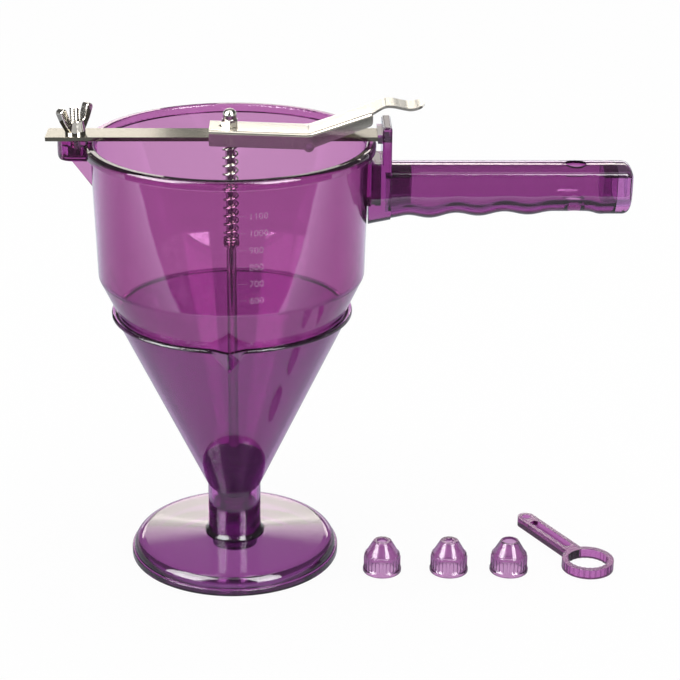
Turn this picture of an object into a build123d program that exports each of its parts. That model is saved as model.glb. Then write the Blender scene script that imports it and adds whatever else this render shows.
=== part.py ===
from build123d import *
import math
import os

# A batter dispenser: a hopper with a pull-rod valve, its drip stand, three loose nozzles and their key.
# Millimetres. +Z is up, +X runs from the stand's axis towards the handle, and the floor is z = 0.

# Walls and fits
wall = 1.8            # moulded wall of the stand cup and the hopper
seat_gap = 0.3        # air between two seated cones
run_gap = 0.06        # radial play of a shaft that turns or slides
still_gap = 0.05      # play of a fixed fit
rail_gap = 0.25       # play of the handle head on its rail
sheet_gap = 0.5       # side play between the crossbar and the lever's flanges
small_round = 0.5     # moulded edges
edge_round = 0.8      # thicker moulded edges and cut corners of the steel
root_round = 2.0      # where a neck or spout runs into its cone
end_flat = 0.05       # flat left at a fully rounded end
past = 1.0            # how far a cut runs past a face, or a joined piece into its neighbour

# Stand
base_r = 53.0
base_lip_h = 3.2
base_lip = 1.2
base_step = 0.2       # upright stretch between the lip and the rounded edge
base_edge_r = 5.8
base_dome = 0.6
base_wall = 2.0
hub_skirt = 1.0       # foot of the drip well beyond the spigot
neck_r = 13.4
neck_wall = 1.7
neck_h = 27.6
collar_w = 1.6
collar_h = 1.4
spigot_h = 16.8
spigot_wall = 1.5
cup_h = 95.7
cup_bead = 0.9
cup_bead_h = 1.9
cone_slope = 0.471    # radius gained for each millimetre of height
lip_w = 21.0
lip_depth = 17.0
lip_reach = 4.6
lip_skin = 2.9        # wall of the lip along the pouring direction
lip_open = 1.5        # how much wider the lip's hollow is drawn than the lip
lip_stretch = 1.125   # how much farther from its foot the hollow is drawn

# Hopper
shoulder_rise = 19.1  # from the cup's rim to the bowl's shoulder
shoulder_r = 4.0
bowl_h = 66.5
bowl_draft = 0.03
rim_w = 3.0
rim_h = 4.6
rim_round = 2.0
rim_inner_round = 0.9
spout_r = 7.6
spout_len = 9.0
thread_h = 0.55
thread_pitch = 2.4
thread_crest = 0.7
thread_lead = 0.9     # plain stretch before the first thread
thread_turns = 3
spout_wall = 1.6
lug_reach = 6.8       # from the bowl's rim line out to the stud
lug_r = 8.8
lug_h = 9.7
lug_rise = 1.3        # lug top over the rim
lug_round = 2.6
gusset_t = 2.2
gusset_h = 15.0

# Handle
pad_w = 23.0
pad_proud = 0.4       # rail pad over the bowl's wall
rail_h = 20.8
rail_drop = 9.0       # rail top below the rim
rail_neck_w = 8.0
rail_neck_l = 2.3
rail_flange_w = 17.0
rail_flange_t = 2.5
tab_t = 4.5
tab_rise = 5.6        # tab top over the crossbar
tab_setback = 0.4     # tab's inner face beyond the rail slot
tab_round = 1.4
head_round = 1.0      # rounded edges of the head's two sides
head_lip = 0.7        # head's outside beyond the grip's
heel_slope = 0.208    # height lost for each millimetre from the first finger valley towards the bowl
bar_cover = 1.2       # tab left beyond the crossbar's end
mouth_l = 2.3         # thicker mouth of the crossbar's slot
mouth_lip = 1.6
grip_drop = 11.7      # grip top below the rim
grip_h = 23.8         # at a finger valley
grip_w = 22.6
grip_crown = 3.4
grip_belt = 8.1       # straight stretch of the grip's side
grip_wall = 2.2
grip_keel = 2.4       # extra thickness under the fingers
grip_len = 108.1
grip_stations = 40    # cross-sections along the grip
spigot_len = 9.6      # head's spigot inside the grip
cap_len = 7.8
cap_r = 4.0
cap_stations = 6
plug_len = 6.4
plug_wall = 1.6
wave_pitch = 23.6
wave_h = 2.16
wave_fade = 0.2       # share of the wave lost over its length
wave_start = 19.6     # from the head to the first bump
wave_bumps = 3
wave_sink = 2.6       # how far the waves sink towards the head
tail_drop = 1.4       # grip's end below the valleys
hang_r = 5.15
hang_land = 1.4       # flat underside beyond the hanging hole
hang_inset = 19.2     # from the grip's end to the hanging hole

# Steelwork
bar_w = 16.4
bar_t = 2.0
bar_tail = 13.8       # bar beyond the stud
stud_r = 2.5
stud_h = 12.7         # stud over the crossbar
stud_play = 0.3
stud_lead = 0.5
stud_head_r = 4.2
stud_head_h = 4.0
stud_floor = 2.0      # lug below the stud's head
wing_hub_wall = 2.4
wing_hub_h = 6.4
wing_hub_taper = 1.0
wing_flange_h = 1.2
wing_foot = 0.9       # wing's lower edge over the bar
wing_root = 1.9       # wing sunk into its hub
wing_reach = 6.1      # tip beyond the hub
wing_waist = 2.6      # waist inside the tip
wing_tip_w = 3.6
wing_h = 14.0
wing_tip_drop = 2.0
wing_t = 4.0
wing_bend_r = 6.0
wing_crook_r = 3.0
wing_tip_r = 1.7
wing_turn = 50.0      # degrees, as the nut was left
sheet_t = 1.3
pivot_x = 37.7
pivot_r = 1.5
pivot_drop = 2.1      # pin axis below the crossbar
ear_r = 2.7
ear_t = 1.8
web_gap = 0.7         # between the crossbar and the lever's web at the bend
flange_h = 7.6
lever_back = 47.5
lever_tilt = 2.05     # degrees, back arm
lever_fore = 30.3
lever_climb = 19.1    # degrees, front arm
lever_bend_r = 10.0
flange_bend_r = 14.0
tip_flange_h = 6.3
tip_flange_r = 2.6
fold_r = 1.6
thumb_len = 24.8
thumb_crest = 2.8
thumb_crest_at = 7.7
thumb_dip = 1.4
thumb_dip_at = 17.4
thumb_lift = 0.2      # thumb plate's end over its crest
thumb_inset = 2.6     # thumb plate inside the channel's sides
thumb_neck = 6.0      # length over which it narrows
thumb_neck_r = 8.0
thumb_corner_r = 5.0
lever_travel = 10.0   # degrees
rod_r = 2.5
rod_thread_depth = 0.5
rod_slot_play = 0.36
nut_bearing = 0.84    # nut's flat beyond the lever's slot
nut_h = 3.4
nut_dome_h = 5.1
nut_bevel = 0.3
nut_lead = 0.6
thread_past = 1.5     # rod's thread beyond a nut
washer_rim = 0.4
washer_t = 0.8
washer_play = 0.24
clip_t = 1.0
clip_depth = 0.5
clip_throat = 4.0
spring_len = 52.6
wire_r = 0.45
coil_play = 0.6       # between the rod and the coil
coil_turns = 15
coil_closed = 1.5     # close turns at each end
coil_close_gap = 0.55

# Stopper
stopper_nose = 2.2    # nose above the top of the spout's bore
stopper_h = 22.6
stopper_nose_r = 1.6
stopper_edge_r = 2.2
stopper_relief = 0.3  # extra air at the stopper's top edge
insert_flats = 7.0
insert_h = 5.0
insert_rise = 9.0

# Loose nozzles and key
nozzle_h = 16.8
nozzle_skirt_wall = 1.05
nozzle_skirt_h = 9.8
nozzle_flare = 0.8
nozzle_flare_h = 1.8
nozzle_flare_slope = 1.2
nozzle_shoulder = 0.7
nozzle_ribs = 28
nozzle_rib_r = 0.4
nozzle_rib_stop = 1.6  # plain skirt above the ribs
nozzle_wall = 1.2
tip_wall = 0.8
round_hole_r = 2.6
star_points = 6
star_out_r = 3.0
star_in_r = 1.5
wide_hole_r = 3.7
nozzle_standoff = 22.2
nozzle_gap = 33.8
wide_nozzle_gap = 30.4
nozzle_row_y = -25.5
key_gap = 40.4        # from the last nozzle
key_y = -22.6
key_ring_w = 2.95
key_play = 0.1
key_t = 5.0
key_len = 54.0
key_turn = 119.0      # degrees, arm direction in plan
key_arm_w = 9.0
key_slot_w = 4.4
key_slot_depth = 2.4
key_slot_start = 3.0  # from the ring
key_slot_end = 6.0    # to the end dimple
key_teeth = 24
key_tooth_r = 0.35

# Worked-out places
cone_angle = math.atan(cone_slope)
wall_level = wall / math.cos(cone_angle)
seat_level = seat_gap / math.cos(cone_angle)
base_top_z = base_lip_h + base_step + base_edge_r
hub_z = base_top_z + base_dome
neck_in_r = neck_r - neck_wall
spigot_r = neck_in_r - still_gap
well_r = spigot_r - spigot_wall
neck_top_z = hub_z + neck_h
cup_rim_z = neck_top_z + cup_h
shoulder_z = cup_rim_z + shoulder_rise
rim_z = shoulder_z + bowl_h
root_r = spout_r - thread_h
bore_r = root_r - spout_wall
bar_z = rim_z + lug_rise
bar_top_z = bar_z + bar_t
pivot_z = bar_z - pivot_drop
rail_top_z = rim_z - rail_drop
rail_low_z = rail_top_z - rail_h


def cup_outer_r(z):
    return neck_r + cone_slope * (z - neck_top_z)


def hopper_cone_r(z):
    return cup_outer_r(z) - wall_level - seat_level


def hopper_inner_r(z):
    return hopper_cone_r(z) - wall_level


def bowl_outer_r(z):
    return hopper_cone_r(shoulder_z) + bowl_draft * (z - shoulder_z)


def cone_height(radius, radius_at):
    return neck_top_z + (radius - radius_at(neck_top_z)) / cone_slope


spout_top_z = cone_height(root_r, hopper_cone_r)
spout_end_z = spout_top_z - spout_len
bore_top_z = cone_height(bore_r, hopper_inner_r)
rim_r = bowl_outer_r(rim_z) + rim_w
lug_x = -(bowl_outer_r(rim_z) + lug_reach)
pad_x = bowl_outer_r(rail_top_z) + pad_proud
rail_neck_x = pad_x + rail_neck_l
rail_x = rail_neck_x + rail_flange_t
tab_x = rail_x + rail_gap + tab_setback
head_x = tab_x + tab_t
grip_end_x = head_x + grip_len
cap_x = grip_end_x + cap_len
grip_top_z = rim_z - grip_drop
valley_z = grip_top_z - grip_h
bar_end_x = head_x - bar_cover
head_w = grip_w + 2 * head_lip
belt_z = grip_top_z - grip_crown - grip_belt
hang_x = grip_end_x - hang_inset
lever_half_w = bar_w / 2 + sheet_gap + sheet_t
web_rise = pivot_drop + bar_t + web_gap + sheet_t
rod_thread_r = rod_r - rod_thread_depth
rod_slot_half = rod_r + rod_slot_play
nut_flats = 2 * (rod_slot_half + nut_bearing)
coil_r = rod_r + coil_play + wire_r
coil_close_pitch = 2 * wire_r + coil_close_gap
clip_r = coil_r + wire_r
washer_r = clip_r + washer_rim
stud_head_z = bar_z - lug_h + stud_floor
wing_hub_r = stud_r + wing_hub_wall
nozzle_socket_r = spout_r + rail_gap
nozzle_skirt_r = nozzle_socket_r + nozzle_skirt_wall
nozzle_tip_r = wide_hole_r + tip_wall
nozzle_first_x = base_r + nozzle_standoff
star_x = nozzle_first_x + nozzle_gap
wide_x = star_x + wide_nozzle_gap
key_x = wide_x + key_gap
key_hole_r = nozzle_skirt_r + nozzle_flare + key_tooth_r + key_play
key_ring_r = key_hole_r + key_ring_w


def outline(*corners):
    """A face from corners (x, y) or (x, y, radius), with a tangent arc at each rounded corner."""
    count = len(corners)
    bends = []
    for i, corner in enumerate(corners):
        here = Vector(corner[0], corner[1])
        before = (Vector(*corners[i - 1][:2]) - here).normalized()
        after = (Vector(*corners[(i + 1) % count][:2]) - here).normalized()
        radius = corner[2] if len(corner) > 2 else 0
        half = math.radians(before.get_angle(after)) / 2
        reach = radius / math.tan(half)
        middle = here + (before + after).normalized() * (radius / math.sin(half) - radius)
        bends.append((here + before * reach, middle, here + after * reach))
    edges = []
    for i, (start, middle, end) in enumerate(bends):
        if (end - start).length > 1e-6:
            edges.append(ThreePointArc(start, middle, end))
        edges.append(Line(end, bends[(i + 1) % count][0]))
    return make_face(edges)


def turned(*corners):
    """A solid of revolution about Z from (radius, height) corners."""
    return revolve(Plane.XZ * outline(*corners), Axis.Z)


def across(face, half_width):
    """A face drawn in X and Z, thickened to both sides in Y."""
    return extrude(Plane.XZ * face, half_width, both=True)


def raised(face, low, high):
    """A face drawn in X and Y, raised from one height to another."""
    return extrude(Plane.XY.offset(low) * face, high - low)


def upright(radius, low, high, x=0, y=0):
    return Pos(x, y, (low + high) / 2) * Cylinder(radius, high - low)


def crosswise(radius, half_width, x, z):
    return Pos(x, 0, z) * Rot(90, 0, 0) * Cylinder(radius, 2 * half_width)


def block(x, y, z):
    """A box from three (low, high) pairs."""
    size = [high - low for low, high in (x, y, z)]
    middle = [(high + low) / 2 for low, high in (x, y, z)]
    return Pos(*middle) * Box(*size)


def eased_sides(shape, radius):
    """A shape thickened in Y, with the edges of its two sides rounded."""
    layers = shape.edges().group_by(Axis.Y)
    return fillet(layers[0] + layers[-1], radius)


def make_stand_base():
    edge_r = base_r - base_lip
    hub_r = spigot_r + hub_skirt
    return turned(
        (0, 0),
        (hub_r, 0),
        (hub_r, hub_z - base_wall),
        (edge_r - base_wall, 0),
        (base_r, 0),
        (base_r, base_lip_h, small_round),
        (edge_r, base_lip_h),
        (edge_r, base_top_z, base_edge_r),
        (neck_r + collar_w + hub_skirt, hub_z),
        (spigot_r, hub_z),
        (spigot_r, hub_z + spigot_h),
        (well_r, hub_z + spigot_h),
        (well_r, base_wall, edge_round),
        (0, base_wall),
    )


def lip_wedge(shift, spread, stretch):
    """The pouring lip as a hull: two corners on the rim, its tip and its foot down the cone."""
    foot_z = cup_rim_z - lip_depth
    tip = Vector(0, -(cup_outer_r(cup_rim_z) + cup_bead + lip_reach), cup_rim_z)
    foot = Vector(0, -(cup_outer_r(foot_z) - wall_level / 2), foot_z)
    rim_y = -(cup_outer_r(cup_rim_z) - wall_level / 2)
    sides = [Vector(side * lip_w / 2, rim_y, cup_rim_z) for side in (-1, 1)]
    corners = [tip] + [tip + (side - tip) * spread for side in sides]
    drawn = [foot + (corner - foot) * stretch for corner in corners]
    return Pos(0, shift, 0) * ConvexPolyhedron([foot] + drawn)


def make_stand_cup():
    bead_low = cup_rim_z - cup_bead_h
    bead_r = cup_outer_r(cup_rim_z) + cup_bead
    inner_rim_r = cup_outer_r(cup_rim_z) - wall_level
    cone_foot_z = neck_top_z + (neck_in_r + wall_level - neck_r) / cone_slope
    shell = turned(
        (neck_in_r, hub_z),
        (neck_r + collar_w, hub_z),
        (neck_r + collar_w, hub_z + collar_h, small_round),
        (neck_r, hub_z + 2 * collar_h),
        (neck_r, neck_top_z, root_round),
        (cup_outer_r(bead_low), bead_low),
        (bead_r, bead_low, small_round),
        (bead_r, cup_rim_z, edge_round),
        (inner_rim_r, cup_rim_z, small_round),
        (neck_in_r, cone_foot_z, root_round),
    )
    return shell + lip_wedge(0, 1, 1) - lip_wedge(lip_skin, lip_open, lip_stretch)


def make_clamp_stud():
    stud = upright(stud_r, stud_head_z, bar_top_z + stud_h)
    stud = chamfer(stud.edges().group_by(Axis.Z)[-1], stud_lead)
    return Pos(lug_x, 0, 0) * (stud + upright(stud_head_r, stud_head_z, stud_head_z + stud_head_h))


def stud_pocket():
    head_top_z = stud_head_z + stud_head_h
    shank = upright(stud_r + still_gap, stud_head_z, bar_z + past)
    head = upright(stud_head_r + still_gap, stud_head_z - still_gap, head_top_z + still_gap)
    return Pos(lug_x, 0, 0) * (shank + head)


def spout_thread():
    """Corners of the spout's outside, from its end up to the cone."""
    corners = [(root_r, spout_end_z)]
    for turn in range(thread_turns):
        low = spout_end_z + thread_lead + turn * thread_pitch
        corners.append((root_r, low))
        corners.append((spout_r, low + thread_h))
        corners.append((spout_r, low + thread_h + thread_crest))
        corners.append((root_r, low + 2 * thread_h + thread_crest))
    return corners


def make_hopper():
    inner_shoulder_z = shoulder_z + (wall_level - wall) / (cone_slope - bowl_draft)
    rim_low = rim_z - rim_h
    inner_rim_r = bowl_outer_r(rim_z) - wall
    lug_root_r = (inner_rim_r + rim_r) / 2
    bowl = turned(
        (bore_r, spout_end_z),
        *spout_thread(),
        (root_r, spout_top_z),
        (hopper_cone_r(shoulder_z), shoulder_z, shoulder_r),
        (bowl_outer_r(rim_low), rim_low),
        (rim_r, rim_low, edge_round),
        (rim_r, rim_z, rim_round),
        (inner_rim_r, rim_z, rim_inner_round),
        (bowl_outer_r(inner_shoulder_z) - wall, inner_shoulder_z, shoulder_r),
        (bore_r, bore_top_z, root_round),
    )
    hollow = turned(
        (0, shoulder_z),
        (hopper_cone_r(shoulder_z) - wall / 2, shoulder_z),
        (inner_rim_r + wall / 2, rim_z - rim_round),
        (lug_root_r, rim_z - rim_round),
        (lug_root_r, bar_z + past),
        (0, bar_z + past),
    )
    lug_plan = outline(
        (lug_x - lug_r, -lug_r, lug_r - end_flat),
        (0, -lug_r),
        (0, lug_r),
        (lug_x - lug_r, lug_r, lug_r - end_flat),
    )
    lug_side = outline(
        (lug_x - lug_r, bar_z),
        (lug_x - lug_r, bar_z - lug_h, lug_round),
        (0, bar_z - lug_h),
        (0, bar_z),
    )
    lug = raised(lug_plan, bar_z - lug_h, bar_z) & across(lug_side, lug_r)
    gusset_face = outline(
        (lug_x - lug_r / 2, bar_z - lug_h + past),
        (-bowl_outer_r(shoulder_z) + wall, bar_z - lug_h + past),
        (-bowl_outer_r(shoulder_z) + wall, bar_z - lug_h - gusset_h),
        (-bowl_outer_r(bar_z - lug_h - gusset_h), bar_z - lug_h - gusset_h),
    )
    gusset = across(gusset_face, gusset_t / 2)
    rail_span = (rail_low_z, rail_top_z)
    pad = block((0, pad_x), (-pad_w / 2, pad_w / 2), rail_span)
    neck = block((0, rail_neck_x), (-rail_neck_w / 2, rail_neck_w / 2), rail_span)
    flange = block((rail_neck_x, rail_x), (-rail_flange_w / 2, rail_flange_w / 2), rail_span)
    fittings = lug + gusset + pad + neck + flange - hollow
    return bowl + fittings - stud_pocket()


def wave_floor_z(place):
    """Underside among the finger waves, which fade and rise away from the head."""
    wave_len = wave_start + (wave_bumps - 0.5) * wave_pitch
    along = min(place / wave_len, 1)
    depth = wave_h * (1 - wave_fade * along)
    wave = depth * (1 + math.cos(2 * math.pi * (place - wave_start) / wave_pitch)) / 2
    return valley_z - wave_sink * (1 - along) ** 2 - (wave if along < 1 else 0)


def grip_floor_z(x):
    """Underside of the grip: a slope up from the head, waves, a flat at the hanging hole, a step down."""
    first_valley = wave_start - wave_pitch / 2
    tail_start = hang_x + hang_r + hang_land
    tail_end = grip_end_x - plug_len - past
    place = x - head_x
    short = max(first_valley - place, 0)
    step = min(max((x - tail_start) / (tail_end - tail_start), 0), 1)
    tail = tail_drop * (1 - math.cos(math.pi * step)) / 2
    return wave_floor_z(max(place, first_valley)) - heel_slope * short - tail


def grip_section(x, inset, lift=0):
    """Cross-section of the grip, drawn in by an inset: crowned top, straight sides, round underside."""
    half = grip_w / 2 - inset
    crown = grip_crown - inset / 2
    brow_z = grip_top_z - inset - crown
    keel = belt_z - grip_floor_z(x) - inset - lift
    edges = [
        EllipticalCenterArc((0, brow_z), half, crown, 0),
        EllipticalCenterArc((0, brow_z), half, crown, 90),
        Line((-half, brow_z), (-half, belt_z)),
        EllipticalCenterArc((0, belt_z), half, keel, 180),
        EllipticalCenterArc((0, belt_z), half, keel, 270),
        Line((half, belt_z), (half, brow_z)),
    ]
    return Plane.YZ.offset(x) * make_face(edges)


def grip_core(inset, start, end):
    """The grip's shape between two places along X, drawn in by an inset, and more so at its underside."""
    first = pad_x - 2 * past
    last = cap_x + past
    stations = [first + (last - first) * i / grip_stations for i in range(grip_stations + 1)]
    lift = grip_keel if inset > 0 else 0
    whole = loft([grip_section(x, inset, lift) for x in stations])
    return whole & block((start, end), (-grip_w, grip_w), (valley_z - grip_h, grip_top_z + past))


def make_handle_grip():
    hanging = upright(hang_r, valley_z - wave_h, grip_top_z + past, hang_x)
    hollow = grip_core(grip_wall, head_x - past, grip_end_x + past)
    return grip_core(0, head_x, grip_end_x) - hollow - hanging


def make_handle_end_cap():
    turns = [math.pi / 2 * i / cap_stations for i in range(cap_stations + 1)]
    rounds = [(cap_x - cap_r + cap_r * math.sin(t), cap_r * (1 - math.cos(t))) for t in turns]
    cap = extrude(grip_section(grip_end_x, 0), cap_len - cap_r)
    cap += loft([grip_section(x, inset) for x, inset in rounds])
    fit = grip_wall + still_gap
    plug = grip_core(fit, grip_end_x - plug_len, grip_end_x + past)
    hollow = grip_core(fit + plug_wall, grip_end_x - plug_len - past, cap_x - grip_wall)
    return cap + plug - hollow


def make_handle_head():
    low_z = valley_z - grip_h
    inner_x = pad_x + rail_gap
    side = outline(
        (inner_x, low_z),
        (head_x, low_z),
        (head_x, bar_top_z + tab_rise, tab_round),
        (tab_x, bar_top_z + tab_rise, tab_round),
        (tab_x, rail_top_z),
        (inner_x, rail_top_z),
    )
    plate = eased_sides(across(side, head_w / 2), head_round)
    plate -= block((0, head_x + past), (-head_w, head_w), (low_z - past, belt_z))
    heel = grip_core(-head_lip, pad_x - past, head_x)
    heel -= block((0, head_x + past), (-head_w, head_w), (belt_z, rim_z))
    heel -= block((0, inner_x), (-head_w, head_w), (rail_low_z - rail_gap, rim_z))
    heel -= upright(bowl_outer_r(rail_low_z) + rail_gap, low_z, rail_low_z)
    slot_z = (rail_low_z - rail_gap, rail_top_z + past)
    neck_half = rail_neck_w / 2 + rail_gap
    flange_half = rail_flange_w / 2 + rail_gap
    neck_slot = block((0, rail_x), (-neck_half, neck_half), slot_z)
    flange_slot = block((rail_neck_x - rail_gap, rail_x + rail_gap), (-flange_half, flange_half), slot_z)
    bar_half = bar_w / 2 + rail_gap
    bar_slot_z = (bar_z - rail_gap / 2, bar_top_z + rail_gap / 2)
    bar_slot = block((tab_x - 2 * mouth_l, bar_end_x + rail_gap), (-bar_half, bar_half), bar_slot_z)
    mouth_half = bar_half + mouth_lip
    mouth_z = (bar_z - lug_rise / 2, bar_top_z + mouth_lip)
    mouth = block((tab_x - mouth_l, tab_x + past), (-mouth_half, mouth_half), mouth_z)
    fit = grip_wall + still_gap
    spigot_end = head_x + spigot_len
    spigot = grip_core(fit, head_x - past, spigot_end)
    hollow = grip_core(fit + plug_wall, rail_x + rail_gap + grip_wall, spigot_end + past)
    return plate + heel + mouth + spigot - neck_slot - flange_slot - bar_slot - hollow


def make_crossbar():
    tail_x = lug_x - bar_tail
    half = bar_w / 2
    ends = [(tail_x, -half), (bar_end_x, -half), (bar_end_x, half), (tail_x, half)]
    plan = outline(*[(x, y, edge_round) for x, y in ends])
    bar = raised(plan, bar_z, bar_top_z)
    ear_face = outline(
        (pivot_x - ear_r, bar_z + bar_t / 2),
        (pivot_x - ear_r, pivot_z - ear_r, ear_r - end_flat),
        (pivot_x + ear_r, pivot_z - ear_r, ear_r - end_flat),
        (pivot_x + ear_r, bar_z + bar_t / 2),
    )
    ears = across(ear_face, half) - across(ear_face, half - ear_t)
    ears -= block((-pivot_x, 2 * pivot_x), (ear_t - half, half - ear_t), (pivot_z - 2 * ear_r, bar_z))
    guide = upright(rod_r + run_gap, bar_z - past, bar_top_z + past)
    stud_hole = upright(stud_r + stud_play, bar_z - past, bar_top_z + past, lug_x)
    pin_hole = crosswise(pivot_r + still_gap, half + past, pivot_x, pivot_z)
    return bar + ears - guide - stud_hole - pin_hole


def make_wing_nut():
    bore = stud_r + run_gap
    tip_x = wing_hub_r + wing_reach
    hub = turned(
        (bore, 0),
        (wing_hub_r, 0),
        (wing_hub_r, wing_flange_h, small_round),
        (wing_hub_r - wing_hub_taper, wing_hub_h, small_round),
        (bore, wing_hub_h),
    )
    wing_face = outline(
        (wing_hub_r - wing_root, wing_foot),
        (wing_hub_r, wing_foot),
        (tip_x - wing_waist, wing_hub_h, wing_bend_r),
        (tip_x, wing_h - wing_tip_drop, wing_tip_r),
        (tip_x - wing_tip_w, wing_h, wing_tip_r),
        (wing_hub_r - small_round, wing_hub_h, wing_crook_r),
        (wing_hub_r - wing_root, wing_hub_h - edge_round),
    )
    wing = eased_sides(across(wing_face, wing_t / 2), small_round)
    nut = hub + wing + Rot(0, 0, 180) * wing
    nut -= upright(bore, -past, wing_h)
    return Pos(lug_x, 0, bar_top_z + still_gap) * Rot(0, 0, wing_turn) * nut


def lever_top(x):
    """Height of the web's top over a place along X, from the back end to the thumb plate."""
    arm = lever_tilt if x < pivot_x else lever_climb
    return pivot_z + web_rise + abs(x - pivot_x) * math.tan(math.radians(arm))


def make_lever():
    back_x = pivot_x - lever_back
    fore_x = pivot_x + lever_fore
    half = lever_half_w
    tip_low = lever_top(fore_x) - tip_flange_h
    side = outline(
        (back_x, lever_top(back_x)),
        (pivot_x, lever_top(pivot_x), lever_bend_r),
        (fore_x, lever_top(fore_x)),
        (fore_x, tip_low, tip_flange_r),
        (pivot_x, lever_top(pivot_x) - flange_h, flange_bend_r),
        (back_x, lever_top(back_x) - flange_h, edge_round),
    )
    channel = across(side, half)
    channel = fillet([edge for edge in channel.edges() if is_web_edge(edge)], fold_r)
    inner = outline(
        (back_x - past, lever_top(back_x - past) - sheet_t),
        (pivot_x, lever_top(pivot_x) - sheet_t, lever_bend_r),
        (fore_x + past, lever_top(fore_x + past) - sheet_t),
        (fore_x + past, pivot_z - flange_h),
        (back_x - past, pivot_z - flange_h),
    )
    channel -= across(inner, half - sheet_t)
    nubs = crosswise(ear_r, half, pivot_x, pivot_z)
    nubs -= crosswise(ear_r + past, half - sheet_t, pivot_x, pivot_z)
    pin_hole = crosswise(pivot_r + run_gap, half + past, pivot_x, pivot_z)
    return channel + make_thumb_plate() + nubs - rod_slot() - pin_hole


def is_web_edge(edge):
    """True for an edge that runs along the top of the folded channel, the bend included."""
    middle = edge.position_at(0.5)
    runs_along = abs(edge.position_at(1).Y - edge.position_at(0).Y) < fold_r
    return runs_along and abs(middle.Z - lever_top(middle.X)) < sheet_t / 2


def make_thumb_plate():
    start_x = pivot_x + lever_fore - past
    end_x = pivot_x + lever_fore + thumb_len
    crest_z = lever_top(pivot_x + lever_fore) + thumb_crest
    climb = math.radians(lever_climb)
    rises = [
        (start_x, lever_top(start_x)),
        (start_x + thumb_crest_at, crest_z),
        (start_x + thumb_dip_at, crest_z - thumb_dip),
        (end_x, crest_z + thumb_lift),
    ]
    ends = [(math.cos(climb), math.sin(climb)), (math.cos(climb), math.sin(climb))]
    over = Spline(*rises, tangents=ends)
    under = Spline(*[(x, z - sheet_t) for x, z in rises], tangents=ends)
    ribbon = make_face([over, Line(over @ 1, under @ 1), under, Line(under @ 0, over @ 0)])
    root = lever_half_w
    half = lever_half_w - thumb_inset
    neck_x = start_x + thumb_neck
    plan = outline(
        (start_x, -root),
        (neck_x, -half, thumb_neck_r),
        (end_x, -half, thumb_corner_r),
        (end_x, half, thumb_corner_r),
        (neck_x, half, thumb_neck_r),
        (start_x, root),
    )
    return across(ribbon, root) & raised(plan, bar_z, crest_z + thumb_len)


def rod_slot():
    """Slot in the web that lets the rod stay upright while the lever rocks."""
    tilt = math.radians(lever_tilt + lever_travel)
    drift = (pivot_x + web_rise * math.sin(tilt)) / math.cos(tilt) - pivot_x + sheet_t * math.tan(tilt)
    half = rod_slot_half
    ends = [(-half - drift, -half), (half, -half), (half, half), (-half - drift, half)]
    plan = outline(*[(x, y, half - end_flat) for x, y in ends])
    return raised(plan, bar_top_z, lever_top(-drift) + past)


def make_pivot_pin():
    return crosswise(pivot_r, lever_half_w, pivot_x, pivot_z)


nut_z = lever_top(-nut_flats / 2) + still_gap
spring_top_z = bar_z - washer_t - still_gap
clip_z = spring_top_z - spring_len - still_gap - clip_t
stopper_low_z = bore_top_z + stopper_nose
stopper_top_z = stopper_low_z + stopper_h
insert_z = stopper_low_z + insert_rise
rod_low_z = insert_z - thread_past
step_z = insert_z + insert_h + thread_past
rod_top_z = nut_z + nut_h + thread_past


def make_rod():
    return turned(
        (0, rod_low_z),
        (rod_thread_r, rod_low_z),
        (rod_thread_r, step_z),
        (rod_r, step_z),
        (rod_r, clip_z),
        (rod_r - clip_depth, clip_z),
        (rod_r - clip_depth, clip_z + clip_t),
        (rod_r, clip_z + clip_t),
        (rod_r, nut_z),
        (rod_thread_r, nut_z),
        (rod_thread_r, rod_top_z),
        (0, rod_top_z),
    )


def make_cap_nut():
    hexagon = RegularPolygon(nut_flats / 2, 6, major_radius=False)
    corner_r = nut_flats / 2 / math.cos(math.pi / 6)
    body = raised(Rot(0, 0, 30) * hexagon, nut_z, nut_z + nut_h)
    body &= turned(
        (0, nut_z),
        (corner_r - nut_bevel, nut_z),
        (corner_r, nut_z + nut_bevel),
        (corner_r, nut_z + nut_h - nut_lead),
        (nut_flats / 2, nut_z + nut_h),
        (0, nut_z + nut_h),
    )
    dome_r = nut_flats / 2 - nut_bevel
    dome = turned(
        (0, nut_z + nut_h - nut_lead),
        (dome_r, nut_z + nut_h - nut_lead),
        (dome_r, nut_z + nut_h + nut_dome_h, dome_r - end_flat),
        (0, nut_z + nut_h + nut_dome_h),
    )
    thread = upright(rod_thread_r + still_gap, nut_z - past, rod_top_z + still_gap)
    return body + dome - thread


def make_spring_washer():
    ring = upright(washer_r, bar_z - washer_t, bar_z)
    return ring - upright(rod_r + washer_play, bar_z - washer_t - past, bar_z + past)


def make_spring_clip():
    inner_r = rod_r - clip_depth + still_gap
    low = clip_z + still_gap / 2
    high = clip_z + clip_t - still_gap / 2
    ring = upright(clip_r, low, high) - upright(inner_r, low - past, high + past)
    throat = block((-clip_throat / 2, clip_throat / 2), (0, clip_r + past), (low - past, high + past))
    return ring - throat


def coil_rise(turns, open_pitch):
    """Height gained over a number of turns from an end: close turns, one easing turn, then open ones."""
    beyond = max(0.0, turns - coil_closed)
    easing = min(beyond, 1.0)
    open_turns = easing ** 2 / 2 + max(0.0, beyond - 1)
    return coil_close_pitch * turns + (open_pitch - coil_close_pitch) * open_turns


def coil_point(turns):
    span = spring_len - 2 * wire_r
    half = coil_turns / 2
    open_pitch = coil_close_pitch + (span / 2 - coil_close_pitch * half) / (half - coil_closed - 0.5)
    up = coil_rise(min(turns, coil_turns - turns), open_pitch)
    z = up if turns <= half else span - up
    angle = 2 * math.pi * turns
    return Vector(coil_r * math.cos(angle), coil_r * math.sin(angle), spring_top_z - spring_len + wire_r + z)


def coil_tangent(turns):
    step = 1e-4
    return (coil_point(min(coil_turns, turns + step)) - coil_point(max(0, turns - step))).normalized()


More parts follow.
